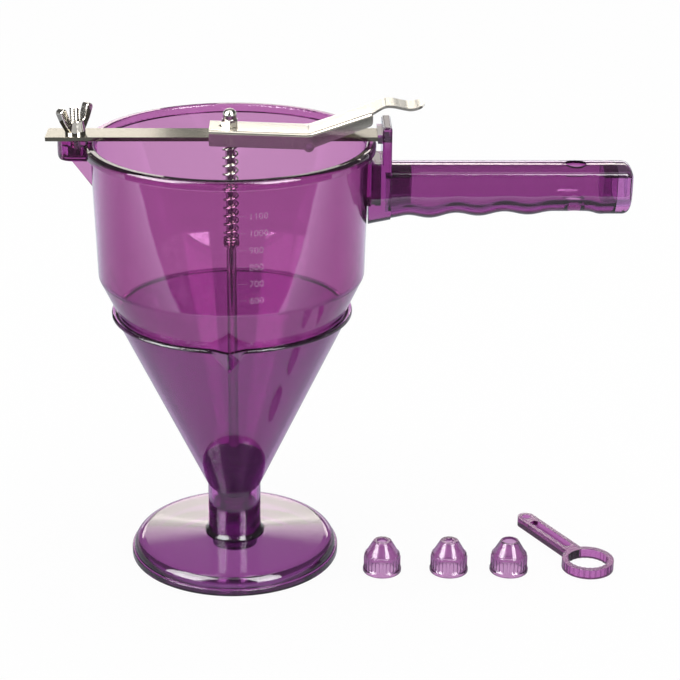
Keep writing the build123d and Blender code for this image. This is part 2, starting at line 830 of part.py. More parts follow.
def biarc(start, end):
    """Two tangent arcs along the coil between two turn counts."""
    p, q = coil_point(start), coil_point(end)
    u, v = coil_tangent(start), coil_tangent(end)
    chord = q - p
    lean = chord.dot(u + v)
    open_up = 2 * (1 - u.dot(v))
    reach = (math.sqrt(lean ** 2 + open_up * chord.dot(chord)) - lean) / open_up
    knee_p = p + u * reach
    knee_q = q - v * reach
    middle = (knee_p + knee_q) / 2
    return [TangentArc(p, middle, tangent=u), TangentArc(middle, q, tangent=knee_q - knee_p)]


def coil_self_gap():
    """Least air between neighbouring turns, measured on points a sixteenth of a turn apart."""
    count = 16 * coil_turns
    points = [coil_point(i / 16) for i in range(count + 1)]
    pairs = [(points[i], points[j]) for i in range(count + 1) for j in range(i + 8, min(i + 25, count + 1))]
    return min((a - b).length for a, b in pairs) - 2 * wire_r


def make_return_spring():
    path = []
    for half_turn in range(2 * coil_turns):
        path += biarc(half_turn / 2, (half_turn + 1) / 2)
    section = Plane(origin=coil_point(0), z_dir=coil_tangent(0)) * Circle(wire_r)
    return sweep(section, path=Wire([arc.edge() for arc in path]))


def make_stopper():
    nose_r = hopper_inner_r(stopper_low_z) - seat_level
    top_r = hopper_inner_r(stopper_top_z) - seat_level - stopper_relief
    plug = turned(
        (0, stopper_low_z),
        (nose_r, stopper_low_z, stopper_nose_r),
        (top_r, stopper_top_z, stopper_edge_r),
        (0, stopper_top_z),
    )
    low_hole = upright(rod_thread_r + still_gap, rod_low_z - still_gap, step_z)
    high_hole = upright(rod_r + still_gap, step_z - still_gap, stopper_top_z + past)
    nest = RegularPolygon(insert_flats / 2 + still_gap, 6, major_radius=False)
    pocket = raised(nest, insert_z - still_gap, insert_z + insert_h + still_gap)
    return plug - low_hole - high_hole - pocket


def make_stopper_insert():
    hexagon = RegularPolygon(insert_flats / 2, 6, major_radius=False)
    body = raised(hexagon, insert_z, insert_z + insert_h)
    return body - upright(rod_thread_r + still_gap, insert_z - past, insert_z + insert_h + past)


def star_hole():
    corners = []
    for i in range(2 * star_points):
        reach = star_out_r if i % 2 == 0 else star_in_r
        turn = math.pi * i / star_points
        corners.append((reach * math.cos(turn), reach * math.sin(turn)))
    return raised(outline(*corners), 0, nozzle_h + past)


def make_nozzle(hole, hole_r):
    """A screw-on nozzle standing on its skirt, its tip cut by the given hole."""
    skirt_top_r = nozzle_skirt_r - nozzle_shoulder
    slope_z = nozzle_flare_h + nozzle_flare_slope
    body = turned(
        (0, 0),
        (nozzle_skirt_r + nozzle_flare, 0, small_round),
        (nozzle_skirt_r + nozzle_flare, nozzle_flare_h, edge_round),
        (nozzle_skirt_r, slope_z),
        (nozzle_skirt_r, nozzle_skirt_h, edge_round),
        (skirt_top_r, nozzle_skirt_h + small_round),
        (nozzle_tip_r, nozzle_h, small_round),
        (0, nozzle_h),
    )
    ribs = Sketch() + [loc * Circle(nozzle_rib_r) for loc in PolarLocations(nozzle_skirt_r, nozzle_ribs)]
    body += raised(ribs, nozzle_flare_h, nozzle_skirt_h - nozzle_rib_stop)
    socket = turned(
        (0, -past),
        (nozzle_socket_r, -past),
        (nozzle_socket_r, nozzle_skirt_h - nozzle_wall),
        (nozzle_socket_r - nozzle_wall, nozzle_skirt_h),
        (hole_r + still_gap, nozzle_h - nozzle_wall),
        (0, nozzle_h - nozzle_wall),
    )
    return body - socket - hole


def make_nozzles():
    holes = {
        "nozzle_round": (upright(round_hole_r, 0, nozzle_h + past), round_hole_r),
        "nozzle_star": (star_hole(), star_out_r),
        "nozzle_wide": (upright(wide_hole_r, 0, nozzle_h + past), wide_hole_r),
    }
    places = [nozzle_first_x, star_x, wide_x]
    nozzles = {}
    for x, (name, (hole, hole_r)) in zip(places, holes.items()):
        nozzles[name] = Pos(x, nozzle_row_y, 0) * make_nozzle(hole, hole_r)
    return nozzles


def make_nozzle_key():
    arm_half = key_arm_w / 2
    arm_plan = outline(
        (0, -arm_half),
        (key_len + arm_half, -arm_half, arm_half - end_flat),
        (key_len + arm_half, arm_half, arm_half - end_flat),
        (0, arm_half),
    )
    key = raised(Circle(key_ring_r), 0, key_t) + raised(arm_plan, 0, key_t)
    key -= upright(key_hole_r, -past, key_t + past)
    teeth = Sketch() + [loc * Circle(key_tooth_r) for loc in PolarLocations(key_hole_r, key_teeth)]
    key += raised(teeth, 0, key_t) & upright(key_ring_r, 0, key_t)
    slot_half = key_slot_w / 2
    slot_start = key_ring_r + key_slot_start
    slot_end = key_len - key_slot_end
    ends = [(slot_start, -slot_half), (slot_end, -slot_half), (slot_end, slot_half), (slot_start, slot_half)]
    slot_plan = outline(*[(x, y, slot_half - end_flat) for x, y in ends])
    key -= raised(slot_plan, key_t - key_slot_depth, key_t + past)
    key -= upright(slot_half, key_t - key_slot_depth, key_t + past, key_len)
    return Pos(key_x, key_y, 0) * Rot(0, 0, key_turn) * key


nodes = {
    "stand_base": make_stand_base(),
    "stand_cup": make_stand_cup(),
    "hopper": make_hopper(),
    "handle_head": make_handle_head(),
    "handle_grip": make_handle_grip(),
    "handle_end_cap": make_handle_end_cap(),
    "crossbar": make_crossbar(),
    "clamp_stud": make_clamp_stud(),
    "wing_nut": make_wing_nut(),
    "lever": make_lever(),
    "pivot_pin": make_pivot_pin(),
    "rod": make_rod(),
    "cap_nut": make_cap_nut(),
    "return_spring": make_return_spring(),
    "spring_washer": make_spring_washer(),
    "spring_clip": make_spring_clip(),
    "stopper": make_stopper(),
    "stopper_insert": make_stopper_insert(),
    "nozzle_key": make_nozzle_key(),
    **make_nozzles(),
}

os.makedirs("parts", exist_ok=True)
for name, shape in nodes.items():
    export_step(shape, f"parts/{name}.step")

print(f"least gap between spring turns {coil_self_gap():.2f} mm")
print(f"hopper rim {2 * rim_r:.1f} mm across at {rim_z:.1f} mm")
print(f"stud at {lug_x:.1f} mm, hanging hole at {hang_x:.1f} mm, handle end at {cap_x:.1f} mm")
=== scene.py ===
import bpy
import bmesh
import math
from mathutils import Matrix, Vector


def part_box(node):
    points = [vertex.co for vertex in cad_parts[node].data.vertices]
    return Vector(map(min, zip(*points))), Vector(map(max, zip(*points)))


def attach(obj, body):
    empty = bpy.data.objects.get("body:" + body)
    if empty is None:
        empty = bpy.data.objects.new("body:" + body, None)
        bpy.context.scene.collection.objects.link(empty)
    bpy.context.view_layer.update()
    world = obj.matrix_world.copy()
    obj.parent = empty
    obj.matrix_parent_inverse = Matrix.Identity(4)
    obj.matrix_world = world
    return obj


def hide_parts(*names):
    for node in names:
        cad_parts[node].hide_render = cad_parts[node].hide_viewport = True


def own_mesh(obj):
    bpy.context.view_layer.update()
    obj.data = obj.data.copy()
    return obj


# A batter dispenser in clear purple plastic and bright steel, on its drip stand, with three loose nozzles
# and a key. Metres, in the frame of the solids: the stand's axis is Z, the handle points along +X and the
# pouring lip along -Y.

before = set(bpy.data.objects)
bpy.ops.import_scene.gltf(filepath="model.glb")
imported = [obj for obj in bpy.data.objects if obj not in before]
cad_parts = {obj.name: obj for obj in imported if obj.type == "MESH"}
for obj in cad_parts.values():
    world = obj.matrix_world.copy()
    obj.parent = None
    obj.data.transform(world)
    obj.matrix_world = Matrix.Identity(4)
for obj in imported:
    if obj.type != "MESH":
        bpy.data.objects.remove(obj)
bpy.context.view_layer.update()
MM = 0.001


# Small helpers

def linear(hex_colour):
    """An sRGB hex colour as linear RGBA."""
    parts = [int(hex_colour[i:i + 2], 16) / 255 for i in (1, 3, 5)]
    return tuple(c / 12.92 if c <= 0.04045 else ((c + 0.055) / 1.055) ** 2.4 for c in parts) + (1.0,)


def add_node(tree, kind, links=None, values=None, **settings):
    """Adds a node, sets its properties, its unlinked inputs and the links into it."""
    made = tree.nodes.new(kind)
    for name, value in settings.items():
        setattr(made, name, value)
    for key, value in (values or {}).items():
        made.inputs[key].default_value = value
    for key, source in (links or {}).items():
        tree.links.new(source, made.inputs[key])
    return made


def new_material(name):
    """An empty node material with its output node."""
    material = bpy.data.materials.new(name)
    material.use_nodes = True
    tree = material.node_tree
    tree.nodes.clear()
    return material, tree, add_node(tree, "ShaderNodeOutputMaterial")


def per_metre(millimetres):
    """Texture scale for a pattern of that real size."""
    return 1 / (millimetres * MM)


def sums(tree, operation, *sources):
    """The output of one sum on the given sources, in the order of its inputs. Numbers are set, not linked."""
    links = {i: s for i, s in enumerate(sources) if not isinstance(s, (int, float))}
    numbers = {i: s for i, s in enumerate(sources) if isinstance(s, (int, float))}
    return add_node(tree, "ShaderNodeMath", links, numbers, operation=operation).outputs[0]


# Materials

SAN_DEPTH = (0.712, 0.114, 0.669, 1.0)
SAN_CLEAR = 0.985
SAN_IOR = 1.55
# facing value from which the painted edge shade starts
SAN_PAINTED_EDGE_SHADE_FROM = 0.72


def clear_purple_san(name, colour, edge, depth, smooth, dull, flow_mm):
    """Clear SAN, injection moulded and polished: glassy and tinted through its depth, with a trace of haze.
    Walls seen edge-on get a painted shade: their colour darkens with the viewing angle, standing in for
    the longer path through the wall. Thick places go deep, and flow waves from the mould make reflections
    wander."""
    material, tree, output = new_material(name)
    place = add_node(tree, "ShaderNodeTexCoord").outputs["Object"]
    flow = add_node(tree, "ShaderNodeTexNoise", {"Vector": place},
                    {"Scale": per_metre(flow_mm), "Detail": 1.0})
    haze = add_node(tree, "ShaderNodeTexNoise", {"Vector": place}, {"Scale": per_metre(6.0), "Detail": 3.0})
    rough = add_node(tree, "ShaderNodeMapRange", {"Value": haze.outputs["Fac"]},
                     {"To Min": smooth, "To Max": dull})
    wave = add_node(tree, "ShaderNodeBump", {"Height": flow.outputs["Fac"]},
                    {"Strength": 0.06, "Distance": 0.4 * MM})
    # Painted shade: the base colour darkens towards the edge colour as a wall turns edge-on to the view,
    # standing in for the longer path of light through the wall.
    facing = add_node(tree, "ShaderNodeLayerWeight", values={"Blend": 0.5}).outputs["Facing"]
    painted_edge_shade = add_node(tree, "ShaderNodeMapRange", {"Value": facing},
                       {"From Min": SAN_PAINTED_EDGE_SHADE_FROM, "From Max": 1.0}, interpolation_type="SMOOTHSTEP")
    tint = add_node(tree, "ShaderNodeMixRGB", {"Fac": painted_edge_shade.outputs["Result"]},
                    {"Color1": linear(colour), "Color2": linear(edge)})
    plastic = add_node(
        tree, "ShaderNodeBsdfPrincipled",
        {"Base Color": tint.outputs["Color"], "Roughness": rough.outputs["Result"],
         "Normal": wave.outputs["Normal"]},
        {"Transmission Weight": SAN_CLEAR, "IOR": SAN_IOR},
    )
    inside = add_node(tree, "ShaderNodeVolumeAbsorption",
                      values={"Color": SAN_DEPTH, "Density": depth})
    tree.links.new(plastic.outputs["BSDF"], output.inputs["Surface"])
    tree.links.new(inside.outputs["Volume"], output.inputs["Volume"])
    return material


def frosted_san(name):
    """The frosted face of raised figures: it lets most light past and scatters a little, pale on purple."""
    material, tree, output = new_material(name)
    place = add_node(tree, "ShaderNodeTexCoord").outputs["Object"]
    frost = add_node(tree, "ShaderNodeTexNoise", {"Vector": place}, {"Scale": per_metre(0.6), "Detail": 2.0})
    share = add_node(tree, "ShaderNodeMapRange", {"Value": frost.outputs["Fac"]},
                     {"To Min": 0.07, "To Max": 0.18})
    clear = add_node(tree, "ShaderNodeBsdfTransparent")
    pale = add_node(tree, "ShaderNodeBsdfDiffuse", values={"Color": linear("#E6C8E4")})
    mixed = add_node(tree, "ShaderNodeMixShader",
                     {0: share.outputs["Result"], 1: clear.outputs["BSDF"], 2: pale.outputs["BSDF"]})
    tree.links.new(mixed.outputs["Shader"], output.inputs["Surface"])
    return material


def brushed_stainless(name, colour, roughness, grain_mm):
    """Stainless sheet, brushed along its length and then polished: long faint scratches that pull highlights
    sideways."""
    material, tree, output = new_material(name)
    place = add_node(tree, "ShaderNodeTexCoord").outputs["Object"]
    stretch = add_node(tree, "ShaderNodeMapping", {"Vector": place}, {"Scale": (0.03, 1.0, 1.0)})
    grain = add_node(tree, "ShaderNodeTexNoise", {"Vector": stretch.outputs["Vector"]},
                     {"Scale": per_metre(grain_mm), "Detail": 4.0, "Roughness": 0.6})
    rough = add_node(tree, "ShaderNodeMapRange", {"Value": grain.outputs["Fac"]},
                     {"To Min": roughness * 0.7, "To Max": roughness * 1.4})
    scratch = add_node(tree, "ShaderNodeBump", {"Height": grain.outputs["Fac"]},
                       {"Strength": 0.15, "Distance": 0.02 * MM})
    steel = add_node(
        tree, "ShaderNodeBsdfPrincipled",
        {"Roughness": rough.outputs["Result"], "Normal": scratch.outputs["Normal"]},
        {"Base Color": linear(colour), "Metallic": 1.0},
    )
    tree.links.new(steel.outputs["BSDF"], output.inputs["Surface"])
    return material


def turned_metal(name, colour, roughness):
    """Bright metal off the lathe: near mirror, with fine rings round its axis."""
    material, tree, output = new_material(name)
    place = add_node(tree, "ShaderNodeTexCoord").outputs["Object"]
    rings = add_node(tree, "ShaderNodeTexWave", {"Vector": place},
                     {"Scale": per_metre(1.2) / math.tau, "Distortion": 1.0},
                     wave_type="BANDS", bands_direction="Z")
    rough = add_node(tree, "ShaderNodeMapRange", {"Value": rings.outputs["Fac"]},
                     {"To Min": roughness * 0.8, "To Max": roughness * 1.3})
    metal = add_node(tree, "ShaderNodeBsdfPrincipled", {"Roughness": rough.outputs["Result"]},
                     {"Base Color": linear(colour), "Metallic": 1.0})
    tree.links.new(metal.outputs["BSDF"], output.inputs["Surface"])
    return material


def black_rubber(name):
    """Moulded nitrile rubber: black, satin, with a fine pebble from the mould."""
    material, tree, output = new_material(name)
    place = add_node(tree, "ShaderNodeTexCoord").outputs["Object"]
    pebble = add_node(tree, "ShaderNodeTexNoise", {"Vector": place}, {"Scale": per_metre(0.8), "Detail": 2.0})
    shade = add_node(tree, "ShaderNodeMapRange", {"Value": pebble.outputs["Fac"]},
                     {"To Min": 0.5, "To Max": 0.7})
    bump = add_node(tree, "ShaderNodeBump", {"Height": pebble.outputs["Fac"]},
                    {"Strength": 0.2, "Distance": 0.1 * MM})
    rubber = add_node(
        tree, "ShaderNodeBsdfPrincipled",
        {"Roughness": shade.outputs["Result"], "Normal": bump.outputs["Normal"]},
        {"Base Color": linear("#141214"), "Specular IOR Level": 0.25},
    )
    tree.links.new(rubber.outputs["BSDF"], output.inputs["Surface"])
    return material


# The second colour of each is the painted edge shade, reached where a wall is seen edge-on.
HOPPER_SAN = clear_purple_san("clear_hopper_san", "#D4A5CC", "#9A6698", 180.0, 0.01, 0.04, 25.0)
CUP_SAN = clear_purple_san("clear_cup_san", "#E0B0E2", "#A472A2", 120.0, 0.01, 0.04, 25.0)
BASE_SAN = clear_purple_san("thick_base_san", "#AA6AAC", "#A472A2", 30.0, 0.03, 0.06, 25.0)
GRIP_SAN = clear_purple_san("clear_grip_san", "#CA9AC6", "#8C5A8C", 190.0, 0.01, 0.04, 25.0)
HEAD_SAN = clear_purple_san("thick_head_san", "#B886B6", "#8C5A8C", 80.0, 0.01, 0.04, 25.0)
CAP_SAN = clear_purple_san("clear_cap_san", "#E0BCE2", "#B080B0", 60.0, 0.01, 0.04, 25.0)
SATIN_SAN = clear_purple_san("satin_nozzle_san", "#DAB4D8", "#A070A0", 160.0, 0.12, 0.22, 8.0)
KEY_SAN = clear_purple_san("satin_key_san", "#DCB8DC", "#80507E", 400.0, 0.12, 0.22, 8.0)
FROSTED = frosted_san("frosted_scale_san")
SHEET = brushed_stainless("brushed_stainless_sheet", "#E4DED2", 0.16, 0.5)
# Painted shade: the crossbar is the same stainless as the lever, given a darker base colour for the darker
# reflections it shows.
SHADED_BAR_STEEL = brushed_stainless("brushed_stainless_bar_painted_shade", "#8A8578", 0.13, 0.5)
TURNED = turned_metal("bright_turned_steel", "#D6D2CA", 0.07)
WIRE = turned_metal("drawn_spring_wire", "#C4C0BA", 0.1)
RUBBER = black_rubber("black_nitrile_rubber")
BRASS = turned_metal("turned_brass", "#C9A35A", 0.25)

FINISH = {
    "stand_base": BASE_SAN, "stand_cup": CUP_SAN, "hopper": HOPPER_SAN, "handle_head": HEAD_SAN,
    "handle_grip": GRIP_SAN, "handle_end_cap": CAP_SAN,
    "nozzle_round": SATIN_SAN, "nozzle_star": SATIN_SAN, "nozzle_wide": SATIN_SAN, "nozzle_key": KEY_SAN,
    "crossbar": SHADED_BAR_STEEL, "lever": SHEET,
    "clamp_stud": TURNED, "wing_nut": TURNED, "pivot_pin": TURNED, "rod": TURNED, "cap_nut": TURNED,
    "return_spring": WIRE, "spring_washer": TURNED, "spring_clip": TURNED,
    "stopper": RUBBER, "stopper_insert": BRASS,
}

for node_name, material in FINISH.items():
    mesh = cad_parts[node_name].data
    mesh.materials.clear()
    mesh.materials.append(material)


# Pieces from rules

def new_group(name, sizes):
    """An empty geometry tree with a named input for each size, and one for the finish."""
    tree = bpy.data.node_groups.new(name, "GeometryNodeTree")
    for label, value in sizes.items():
        kind = "NodeSocketInt" if isinstance(value, int) else "NodeSocketFloat"
        tree.interface.new_socket(label, in_out="INPUT", socket_type=kind).default_value = value
    tree.interface.new_socket("Finish", in_out="INPUT", socket_type="NodeSocketMaterial")
    tree.interface.new_socket("Geometry", in_out="OUTPUT", socket_type="NodeSocketGeometry")
    return tree, add_node(tree, "NodeGroupInput").outputs


def end_group(tree, given, geometry):
    """Ends a tree: instances become real, faces smooth, and the finish is set."""
    real = add_node(tree, "GeometryNodeRealizeInstances", {"Geometry": geometry})
    smooth = add_node(tree, "GeometryNodeSetShadeSmooth", {"Geometry": real.outputs["Geometry"]})
    dressed = add_node(tree, "GeometryNodeSetMaterial",
                       {"Geometry": smooth.outputs["Geometry"], "Material": given["Finish"]})
    add_node(tree, "NodeGroupOutput", {"Geometry": dressed.outputs["Geometry"]})


def wound_wire():
    """A wire wound round Z: close turns at both ends, one easing turn, and open turns between.
    With four sides it is the ridge of a screw thread."""
    tree, given = new_group("wound_wire", {
        "Turns": 15.0, "Coil Radius": 0.0036, "Low": 0.0, "Height": 0.05, "Close Turns": 1.5,
        "Close Pitch": 0.0015, "Extra Pitch": 0.003, "Wire Radius": 0.0005, "Sides": 12, "Steps": 480,
    })
    line = add_node(tree, "GeometryNodeCurvePrimitiveLine")
    steps = add_node(tree, "GeometryNodeResampleCurve",
                     {"Curve": line.outputs["Curve"], "Count": given["Steps"]})
    along = add_node(tree, "GeometryNodeSplineParameter").outputs["Factor"]
    turn = sums(tree, "MULTIPLY", along, given["Turns"])
    left = sums(tree, "SUBTRACT", given["Turns"], turn)
    near = sums(tree, "MINIMUM", turn, left)
    past = sums(tree, "SUBTRACT", near, given["Close Turns"])
    beyond = sums(tree, "MAXIMUM", past, 0.0)
    easing = sums(tree, "MINIMUM", beyond, 1.0)
    square = sums(tree, "MULTIPLY", easing, easing)
    over = sums(tree, "SUBTRACT", beyond, easing)
    opened = sums(tree, "MULTIPLY_ADD", square, 0.5, over)
    close = sums(tree, "MULTIPLY", near, given["Close Pitch"])
    rise = sums(tree, "MULTIPLY_ADD", opened, given["Extra Pitch"], close)
    drop = sums(tree, "SUBTRACT", given["Height"], rise)
    upper = sums(tree, "GREATER_THAN", turn, left)
    climb = add_node(tree, "GeometryNodeSwitch", {"Switch": upper, "False": rise, "True": drop},
                     input_type="FLOAT").outputs["Output"]
    height = sums(tree, "ADD", climb, given["Low"])
    angle = sums(tree, "MULTIPLY", turn, math.tau)
    east = sums(tree, "MULTIPLY", sums(tree, "COSINE", angle), given["Coil Radius"])
    north = sums(tree, "MULTIPLY", sums(tree, "SINE", angle), given["Coil Radius"])
    point = add_node(tree, "ShaderNodeCombineXYZ", {"X": east, "Y": north, "Z": height}).outputs["Vector"]
    bent = add_node(tree, "GeometryNodeSetPosition", {"Geometry": steps.outputs["Curve"], "Position": point})
    level = add_node(tree, "GeometryNodeSetCurveNormal", {"Curve": bent.outputs["Geometry"]}, mode="Z_UP")
    section = add_node(tree, "GeometryNodeCurvePrimitiveCircle",
                       {"Resolution": given["Sides"], "Radius": given["Wire Radius"]})
    wire = add_node(tree, "GeometryNodeCurveToMesh",
                    {"Curve": level.outputs["Curve"], "Profile Curve": section.outputs["Curve"]},
                    {"Fill Caps": True})
    end_group(tree, given, wire.outputs["Mesh"])
    return tree


def wall_marks():
    """A column of short rounded bars up a slightly conical wall."""
    tree, given = new_group("wall_marks", {
        "Count": 6, "Low": 0.16, "Pitch": 0.008, "Turn": 0.1, "Low Radius": 0.065, "Draft": 0.03,
        "Length": 0.004, "Round": 0.0003,
    })
    pitch = add_node(tree, "ShaderNodeCombineXYZ", {"Z": given["Pitch"]}).outputs["Vector"]
    column = add_node(tree, "GeometryNodeMeshLine", {"Count": given["Count"], "Offset": pitch})
    here = add_node(tree, "GeometryNodeInputPosition").outputs["Position"]
    climb = add_node(tree, "ShaderNodeSeparateXYZ", {"Vector": here}).outputs["Z"]
    radius = sums(tree, "MULTIPLY_ADD", climb, given["Draft"], given["Low Radius"])
    east = sums(tree, "MULTIPLY", radius, sums(tree, "SINE", given["Turn"]))
    south = sums(tree, "MULTIPLY", radius, sums(tree, "COSINE", given["Turn"]))
    north = sums(tree, "MULTIPLY", south, -1.0)
    height = sums(tree, "ADD", climb, given["Low"])
    point = add_node(tree, "ShaderNodeCombineXYZ", {"X": east, "Y": north, "Z": height}).outputs["Vector"]
    places = add_node(tree, "GeometryNodeSetPosition",
                      {"Geometry": column.outputs["Mesh"], "Position": point})
    bar = add_node(tree, "GeometryNodeMeshCylinder", {"Radius": given["Round"], "Depth": given["Length"]},
                   {"Vertices": 10})
    lie = add_node(tree, "ShaderNodeCombineXYZ", {"Z": given["Turn"]}, {"Y": math.pi / 2}).outputs["Vector"]
    bars = add_node(tree, "GeometryNodeInstanceOnPoints",
                    {"Points": places.outputs["Geometry"], "Instance": bar.outputs["Mesh"], "Rotation": lie})
    end_group(tree, given, bars.outputs["Instances"])
    return tree


def grow(name, tree, sizes, finish):
    """Runs a tree with these sizes and keeps what it makes as a plain mesh, faces outwards."""
    holder = bpy.data.objects.new(name + "_tree", bpy.data.meshes.new(name + "_tree"))
    bpy.context.scene.collection.objects.link(holder)
    modifier = holder.modifiers.new(tree.name, "NODES")
    modifier.node_group = tree
    sockets = {item.name: item.identifier for item in tree.interface.items_tree if item.in_out == "INPUT"}
    for label, value in {**sizes, "Finish": finish}.items():
        modifier[sockets[label]] = value
    made = holder.evaluated_get(bpy.context.evaluated_depsgraph_get())
    mesh = bpy.data.meshes.new_from_object(made)
    bpy.data.objects.remove(holder)
    shape = bmesh.new()
    shape.from_mesh(mesh)
    bmesh.ops.recalc_face_normals(shape, faces=shape.faces)
    shape.to_mesh(mesh)
    shape.free()
    return mesh


def add_piece(name, mesh, body, slot, *stands_for):
    """Puts a finished mesh in the scene, on its body, in place of the solids it stands for."""
    piece = bpy.data.objects.new(name, mesh)
    bpy.context.scene.collection.objects.link(piece)
    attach(piece, body)
    if stands_for:
        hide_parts(*stands_for)
    return piece


WOUND = wound_wire()
MARKS = wall_marks()


# Return spring: wound as the solid is, seated under the crossbar and carried by the clip on the rod

SPRING_TURNS = 15.0
SPRING_CLOSE_TURNS = 1.5
SPRING_WIRE_R = 0.45 * MM
SPRING_CLOSE_PITCH = 1.45 * MM
SPRING_SIDES = 12
SPRING_STEPS = 40      # per turn


def make_return_spring():
    low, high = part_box("return_spring")
    span = high[2] - low[2] - 2 * SPRING_WIRE_R
    half = SPRING_TURNS / 2
    extra = (span / 2 - SPRING_CLOSE_PITCH * half) / (half - SPRING_CLOSE_TURNS - 0.5)
    coil_r = (high[1] - low[1]) / 2 - SPRING_WIRE_R
    mesh = grow("wound_return_spring", WOUND, {
        "Turns": SPRING_TURNS, "Coil Radius": coil_r, "Low": low[2] + SPRING_WIRE_R, "Height": span,
        "Close Turns": SPRING_CLOSE_TURNS, "Close Pitch": SPRING_CLOSE_PITCH, "Extra Pitch": extra,
        "Wire Radius": SPRING_WIRE_R, "Sides": SPRING_SIDES, "Steps": SPRING_STEPS * int(SPRING_TURNS) + 1,
    }, WIRE)
    spring = add_piece("wound_return_spring", mesh, "dispenser", "spring_steel", "return_spring")
    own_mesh(spring)


make_return_spring()


# Measuring scale, moulded on the front of the bowl

BOWL_FOOT_Z = 152.2 * MM
BOWL_FOOT_R = 65.18 * MM
BOWL_DRAFT = 0.03
SCALE_LOW_Z = 160.4 * MM
SCALE_PITCH = 8.22 * MM
SCALE_LABELS = ("600", "700", "800", "900", "1000", "1100")
DIGIT_SIZE = 4.6 * MM
DIGIT_MIDDLE = 0.36    # share of the digit size
DIGIT_START = 10.2 * MM
MARK_MIDDLE = 7.0 * MM
MARK_LENGTH = 4.0 * MM
SCALE_PROUD = 0.2 * MM


def bowl_wall_r(z):
    return BOWL_FOOT_R + BOWL_DRAFT * (z - BOWL_FOOT_Z)


def make_scale_digits():
    """Generic millilitre figures, raised on the wall and bent round it."""
    joined = bmesh.new()
    for step, label in enumerate(SCALE_LABELS):
        text = bpy.data.curves.new("figures", "FONT")
        text.body = label
        text.size = DIGIT_SIZE
        text.extrude = SCALE_PROUD / 2
        text.resolution_u = 3
        holder = bpy.data.objects.new("figures", text)
        bpy.context.scene.collection.objects.link(holder)
        graph = bpy.context.evaluated_depsgraph_get()
        flat = bpy.data.meshes.new_from_object(holder.evaluated_get(graph))
        middle = SCALE_LOW_Z + step * SCALE_PITCH
        for vertex in flat.vertices:
            x, y, proud = vertex.co
            z = middle + y - DIGIT_MIDDLE * DIGIT_SIZE
            turn = (DIGIT_START + x) / bowl_wall_r(z)
            radius = bowl_wall_r(z) + SCALE_PROUD + proud
            vertex.co = (radius * math.sin(turn), -radius * math.cos(turn), z)
        joined.from_mesh(flat)
        bpy.data.objects.remove(holder)
        bpy.data.meshes.remove(flat)
    bmesh.ops.remove_doubles(joined, verts=joined.verts, dist=1e-7)
    mesh = bpy.data.meshes.new("scale_figures")
    joined.to_mesh(mesh)
    joined.free()
    mesh.materials.append(FROSTED)
    add_piece("scale_figures", mesh, "dispenser", "clear_purple")


def make_scale_marks():
    mesh = grow("scale_marks", MARKS, {
        "Count": len(SCALE_LABELS), "Low": SCALE_LOW_Z, "Pitch": SCALE_PITCH,
        "Turn": MARK_MIDDLE / bowl_wall_r(SCALE_LOW_Z), "Low Radius": bowl_wall_r(SCALE_LOW_Z) + SCALE_PROUD,
        "Draft": BOWL_DRAFT, "Length": MARK_LENGTH, "Round": SCALE_PROUD / 2,
    }, FROSTED)
    add_piece("scale_marks", mesh, "dispenser", "clear_purple")


make_scale_digits()
make_scale_marks()


# Clamp stud: the same stud and head, with the thread cut

THREAD_R = 2.5 * MM
THREAD_PITCH = 0.8 * MM
THREAD_RIDGE = 0.45 * MM
THREAD_SIDES = 4
THREAD_STEPS = 28      # per turn
STUD_HEAD_H = 4.0 * MM
STUD_SIDES = 40
STUD_CREASE = math.radians(30)


def make_clamp_stud():
    low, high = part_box("clamp_stud")
    head_top = low[2] + STUD_HEAD_H
    core_r = THREAD_R - THREAD_RIDGE
    span = high[2] - head_top - 2 * THREAD_RIDGE
    turns = span / THREAD_PITCH
    mesh = grow("threaded_clamp_stud", WOUND, {
        "Turns": turns, "Coil Radius": core_r, "Low": head_top + THREAD_RIDGE, "Height": span,
        "Close Turns": turns, "Close Pitch": THREAD_PITCH, "Extra Pitch": 0.0, "Wire Radius": THREAD_RIDGE,
        "Sides": THREAD_SIDES, "Steps": THREAD_STEPS * int(turns) + 1,
    }, TURNED)
    shape = bmesh.new()
    shape.from_mesh(mesh)
    for radius, foot, top in ((core_r, head_top, high[2]), ((high[1] - low[1]) / 2, low[2], head_top)):
        made = bmesh.ops.create_cone(shape, cap_ends=True, segments=STUD_SIDES, radius1=radius,
                                     radius2=radius, depth=top - foot)
        bmesh.ops.translate(shape, verts=made["verts"], vec=(0, 0, (foot + top) / 2))
    bmesh.ops.translate(shape, verts=shape.verts, vec=((low[0] + high[0]) / 2, (low[1] + high[1]) / 2, 0))
    shape.to_mesh(mesh)
    shape.free()
    mesh.set_sharp_from_angle(angle=STUD_CREASE)
    add_piece("threaded_clamp_stud", mesh, "dispenser", "turned_steel", "clamp_stud")


make_clamp_stud()


# Softened copies: the same solids with their sharp edges rounded, so that the edges catch light

CREASE = math.radians(32)
FLAT = math.radians(0.2)
STEEL_EDGE = 0.3 * MM
KEY_EDGE = 0.5 * MM


